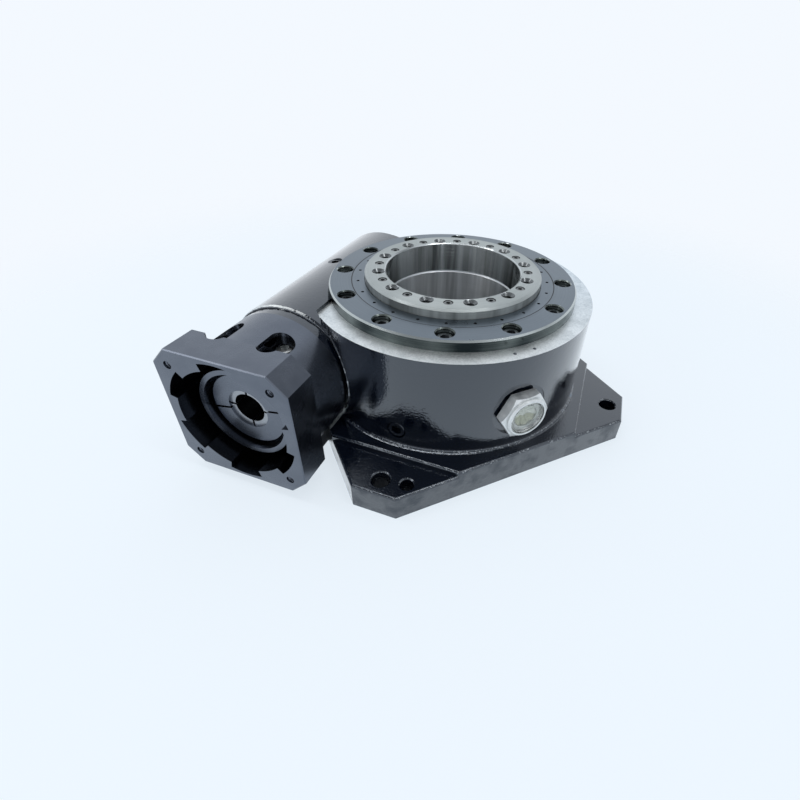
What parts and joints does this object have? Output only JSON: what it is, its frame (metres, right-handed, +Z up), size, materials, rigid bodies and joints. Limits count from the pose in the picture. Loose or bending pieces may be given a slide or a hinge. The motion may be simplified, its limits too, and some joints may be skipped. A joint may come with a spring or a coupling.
{
  "type": "cam roller turret",
  "caption": "Hollow rotary table: a black cast housing carries a ring bearing and bright output ring, turned by an enclosed globoid cam and rollers from a side motor adapter.",
  "frame": {"origin": "turret axis at the base plate's underside", "axes": "+Z up along the turret axis, -Y towards the motor side, the cam axis parallel to Y on the -X side"},
  "size_m": [0.261, 0.2692, 0.099],
  "materials": {
    "black_paint": "gloss black paint on a casting",
    "ring_steel": "dark satin ground steel",
    "bright_steel": "bright turned steel",
    "hard_steel": "ground hardened steel",
    "black_oxide": "black oxide screws",
    "dark_anodised": "dark satin anodised",
    "machined_iron": "machined iron",
    "seal_rubber": "black nitrile rubber",
    "zinc_plate": "bright zinc plate",
    "sight_glass": "clear glass with a green tint"
  },
  "bodies": {
    "housing": {"adapter_screws": "black_oxide", "bearing_outer_ring": "ring_steel", "bearing_rollers": "hard_steel", "bearing_screws": "black_oxide", "bottom_cover": "machined_iron", "bottom_cover_screws": "black_oxide", "bottom_oil_seal": "seal_rubber", "drain_plug": "black_paint", "dust_seal": "ring_steel", "filler_plug": "black_oxide", "front_bearing_outer": "hard_steel", "front_bearing_rollers": "hard_steel", "housing": "black_paint", "input_bearing_housing": "machined_iron", "input_oil_seal": "seal_rubber", "motor_adapter": "dark_anodised", "rear_bearing_outer": "hard_steel", "rear_bearing_rollers": "hard_steel", "rear_cap_screws": "black_oxide", "rear_end_cap": "machined_iron", "sight_gasket": "seal_rubber", "sight_glass_body": "zinc_plate", "sight_glass_lens": "sight_glass"},
    "turret": {"output_ring": "bright_steel", "output_ring_screws": "zinc_plate", "follower_carrier": "bright_steel", "follower_studs": "hard_steel"},
    "camshaft": {"camshaft": "hard_steel", "front_bearing_inner": "hard_steel", "rear_bearing_inner": "hard_steel", "bearing_nut": "hard_steel", "coupling_hub": "dark_anodised", "coupling_screws": "zinc_plate", "split_bush": "bright_steel"},
    "roller_01": {"follower_roller_01": "hard_steel"},
    "roller_02": {"follower_roller_02": "hard_steel"},
    "roller_03": {"follower_roller_03": "hard_steel"},
    "roller_04": {"follower_roller_04": "hard_steel"},
    "roller_05": {"follower_roller_05": "hard_steel"},
    "roller_06": {"follower_roller_06": "hard_steel"},
    "roller_07": {"follower_roller_07": "hard_steel"},
    "roller_08": {"follower_roller_08": "hard_steel"},
    "roller_09": {"follower_roller_09": "hard_steel"},
    "roller_10": {"follower_roller_10": "hard_steel"},
    "roller_11": {"follower_roller_11": "hard_steel"},
    "roller_12": {"follower_roller_12": "hard_steel"}
  },
  "joints": [
    {"name": "turret_spin", "type": "hinge", "parent": "housing", "child": "turret", "pos_m": [0, 0, 0.085], "axis": [0, 0, 1], "continuous": true},
    {"name": "input_spin", "type": "hinge", "parent": "housing", "child": "camshaft", "pos_m": [-0.08, 0, 0.048], "axis": [0, 1, 0], "continuous": true},
    {"name": "roller_01_spin", "type": "hinge", "parent": "turret", "child": "roller_01", "pos_m": [0.0626, 0, 0.048], "axis": [1, 0, 0], "continuous": true},
    {"name": "roller_02_spin", "type": "hinge", "parent": "turret", "child": "roller_02", "pos_m": [0.05421, 0.0313, 0.048], "axis": [0.866, 0.5, 0], "continuous": true},
    {"name": "roller_03_spin", "type": "hinge", "parent": "turret", "child": "roller_03", "pos_m": [0.0313, 0.05421, 0.048], "axis": [0.5, 0.866, 0], "continuous": true},
    {"name": "roller_04_spin", "type": "hinge", "parent": "turret", "child": "roller_04", "pos_m": [0, 0.0626, 0.048], "axis": [0, 1, 0], "continuous": true},
    {"name": "roller_05_spin", "type": "hinge", "parent": "turret", "child": "roller_05", "pos_m": [-0.0313, 0.05421, 0.048], "axis": [-0.5, 0.866, 0], "continuous": true},
    {"name": "roller_06_spin", "type": "hinge", "parent": "turret", "child": "roller_06", "pos_m": [-0.05421, 0.0313, 0.048], "axis": [-0.866, 0.5, 0], "continuous": true},
    {"name": "roller_07_spin", "type": "hinge", "parent": "turret", "child": "roller_07", "pos_m": [-0.0626, 0, 0.048], "axis": [-1, 0, 0], "continuous": true},
    {"name": "roller_08_spin", "type": "hinge", "parent": "turret", "child": "roller_08", "pos_m": [-0.05421, -0.0313, 0.048], "axis": [-0.866, -0.5, 0], "continuous": true},
    {"name": "roller_09_spin", "type": "hinge", "parent": "turret", "child": "roller_09", "pos_m": [-0.0313, -0.05421, 0.048], "axis": [-0.5, -0.866, 0], "continuous": true},
    {"name": "roller_10_spin", "type": "hinge", "parent": "turret", "child": "roller_10", "pos_m": [0, -0.0626, 0.048], "axis": [0, -1, 0], "continuous": true},
    {"name": "roller_11_spin", "type": "hinge", "parent": "turret", "child": "roller_11", "pos_m": [0.0313, -0.05421, 0.048], "axis": [0.5, -0.866, 0], "continuous": true},
    {"name": "roller_12_spin", "type": "hinge", "parent": "turret", "child": "roller_12", "pos_m": [0.05421, -0.0313, 0.048], "axis": [0.866, -0.5, 0], "continuous": true}
  ],
  "couplings": [
    {"joint": "input_spin", "follows": "turret_spin", "ratio": 12}
  ]
}
